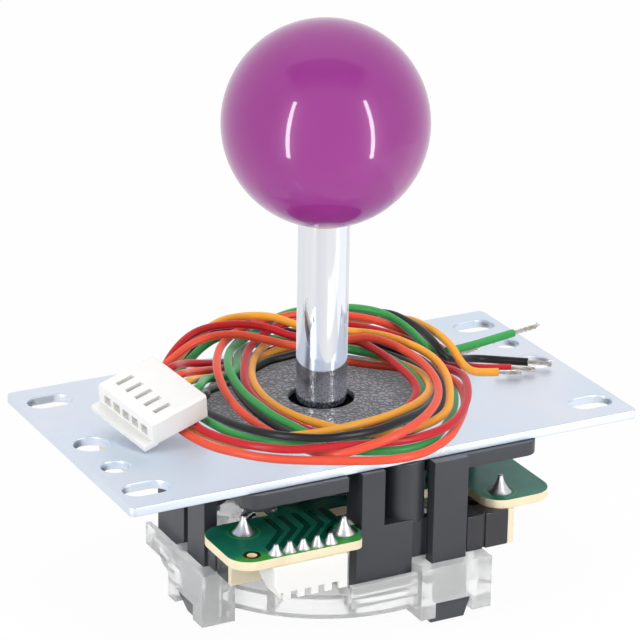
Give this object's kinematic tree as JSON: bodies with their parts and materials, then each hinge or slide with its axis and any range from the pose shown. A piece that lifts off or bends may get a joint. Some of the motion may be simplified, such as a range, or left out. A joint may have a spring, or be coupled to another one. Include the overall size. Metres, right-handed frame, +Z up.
{
  "type": "arcade joystick lever",
  "caption": "Ball-topped lever on a steel mounting plate that tilts and springs back, pressing switches on a board under it, with a clear gate and a coiled harness lying on the plate.",
  "frame": {"origin": "on the shaft's axis at the top face of the mounting plate", "axes": "+X along the plate's long side, +Y to the back of the plate, +Z up along the shaft to the ball"},
  "size_m": [0.095, 0.0626, 0.0985],
  "materials": {
    "zinc_plate": "bright zinc plating, satin",
    "steel": "plain steel",
    "black_plastic": "moulded black, slight sheen",
    "pivot_plastic": "dark low-friction plastic",
    "chrome_shaft": "polished",
    "ball_plastic": "polished purple",
    "brass_insert": "turned",
    "dust_disc": "grained black sheet",
    "board": "green solder mask",
    "solder": "bright solder",
    "contact_metal": "tinned",
    "white_plastic": "natural white",
    "clear_plastic": "clear moulded",
    "switch_cream": "cream moulded",
    "switch_black": "dark moulded",
    "switch_button": "small moulded button",
    "tinned_strands": "tinned copper strands",
    "wire_green": "wire sleeve",
    "wire_orange": "wire sleeve",
    "wire_black": "wire sleeve",
    "wire_red": "wire sleeve",
    "wire_yellow": "wire sleeve"
  },
  "bodies": {
    "base": {"mounting_plate": "zinc_plate", "plate_screws": "steel", "housing": "black_plastic", "circuit_board": "board", "solder_joints": "solder", "switch_terminals": "contact_metal", "header": "white_plastic", "header_pins": "contact_metal", "gate_frame": "clear_plastic", "gate_insert": "clear_plastic", "dust_washer": "dust_disc", "plug_housing": "white_plastic", "plug_contacts": "contact_metal", "harness_coil": "wire_red", "switch_base_front": "switch_cream", "switch_base_right": "switch_cream", "switch_base_back": "switch_cream", "switch_base_left": "switch_cream", "switch_case_front": "switch_black", "switch_case_right": "switch_black", "switch_case_back": "switch_black", "switch_case_left": "switch_black", "tail_green": "wire_green", "tail_orange": "wire_orange", "tail_black": "wire_black", "tail_red": "wire_red", "tail_yellow": "wire_yellow", "strands_green": "tinned_strands", "strands_orange": "tinned_strands", "strands_black": "tinned_strands", "strands_red": "tinned_strands", "strands_yellow": "tinned_strands"},
    "spring": {"centring_spring": "steel"},
    "carrier": {"pivot_ball": "pivot_plastic", "actuator": "pivot_plastic"},
    "lever": {"shaft": "chrome_shaft", "retaining_ring": "steel", "ball_top": "ball_plastic", "ball_insert": "brass_insert"},
    "arm_front": {"switch_arm_front": "steel"},
    "plunger_front": {"switch_plunger_front": "switch_button"},
    "arm_right": {"switch_arm_right": "steel"},
    "plunger_right": {"switch_plunger_right": "switch_button"},
    "arm_back": {"switch_arm_back": "steel"},
    "plunger_back": {"switch_plunger_back": "switch_button"},
    "arm_left": {"switch_arm_left": "steel"},
    "plunger_left": {"switch_plunger_left": "switch_button"}
  },
  "joints": [
    {"name": "tilt_x", "type": "hinge", "parent": "base", "child": "spring", "pos_m": [0, 0, -0.0045], "axis": [1, 0, 0], "range_deg": [-8, 8], "stiffness_Nm_per_rad": 0.6, "deforming": ["centring_spring"]},
    {"name": "tilt_y", "type": "hinge", "parent": "spring", "child": "carrier", "pos_m": [0, 0, -0.0045], "axis": [0, 1, 0], "range_deg": [-8, 8], "stiffness_Nm_per_rad": 0.6, "deforming": ["centring_spring"]},
    {"name": "spin", "type": "hinge", "parent": "carrier", "child": "lever", "pos_m": [0, 0, -0.0045], "axis": [0, 0, 1], "continuous": true},
    {"name": "arm_front_hinge", "type": "hinge", "parent": "base", "child": "arm_front", "pos_m": [-0.0248, -0.01255, -0.0162], "axis": [0, 0, 1], "range_deg": [-2.85, 2.85]},
    {"name": "plunger_front_push", "type": "slide", "parent": "base", "child": "plunger_front", "axis": [0, -1, 0], "range_m": [-0.00029, 0.00029]},
    {"name": "arm_right_hinge", "type": "hinge", "parent": "base", "child": "arm_right", "pos_m": [0.01255, -0.0248, -0.0162], "axis": [0, 0, 1], "range_deg": [-2.85, 2.85]},
    {"name": "plunger_right_push", "type": "slide", "parent": "base", "child": "plunger_right", "axis": [1, 0, 0], "range_m": [-0.00029, 0.00029]},
    {"name": "arm_back_hinge", "type": "hinge", "parent": "base", "child": "arm_back", "pos_m": [0.0248, 0.01255, -0.0162], "axis": [0, 0, 1], "range_deg": [-2.85, 2.85]},
    {"name": "plunger_back_push", "type": "slide", "parent": "base", "child": "plunger_back", "axis": [0, 1, 0], "range_m": [-0.00029, 0.00029]},
    {"name": "arm_left_hinge", "type": "hinge", "parent": "base", "child": "arm_left", "pos_m": [-0.01255, 0.0248, -0.0162], "axis": [0, 0, 1], "range_deg": [-2.85, 2.85]},
    {"name": "plunger_left_push", "type": "slide", "parent": "base", "child": "plunger_left", "axis": [-1, 0, 0], "range_m": [-0.00029, 0.00029]}
  ],
  "couplings": [
    {"joint": "arm_front_hinge", "follows": "tilt_x", "ratio": 0.3465},
    {"joint": "plunger_front_push", "follows": "tilt_x", "m_per_rad": -0.00201},
    {"joint": "arm_right_hinge", "follows": "tilt_y", "ratio": 0.3465},
    {"joint": "plunger_right_push", "follows": "tilt_y", "m_per_rad": -0.00201},
    {"joint": "arm_back_hinge", "follows": "tilt_x", "ratio": -0.3465},
    {"joint": "plunger_back_push", "follows": "tilt_x", "m_per_rad": 0.00201},
    {"joint": "arm_left_hinge", "follows": "tilt_y", "ratio": -0.3465},
    {"joint": "plunger_left_push", "follows": "tilt_y", "m_per_rad": 0.00201}
  ]
}
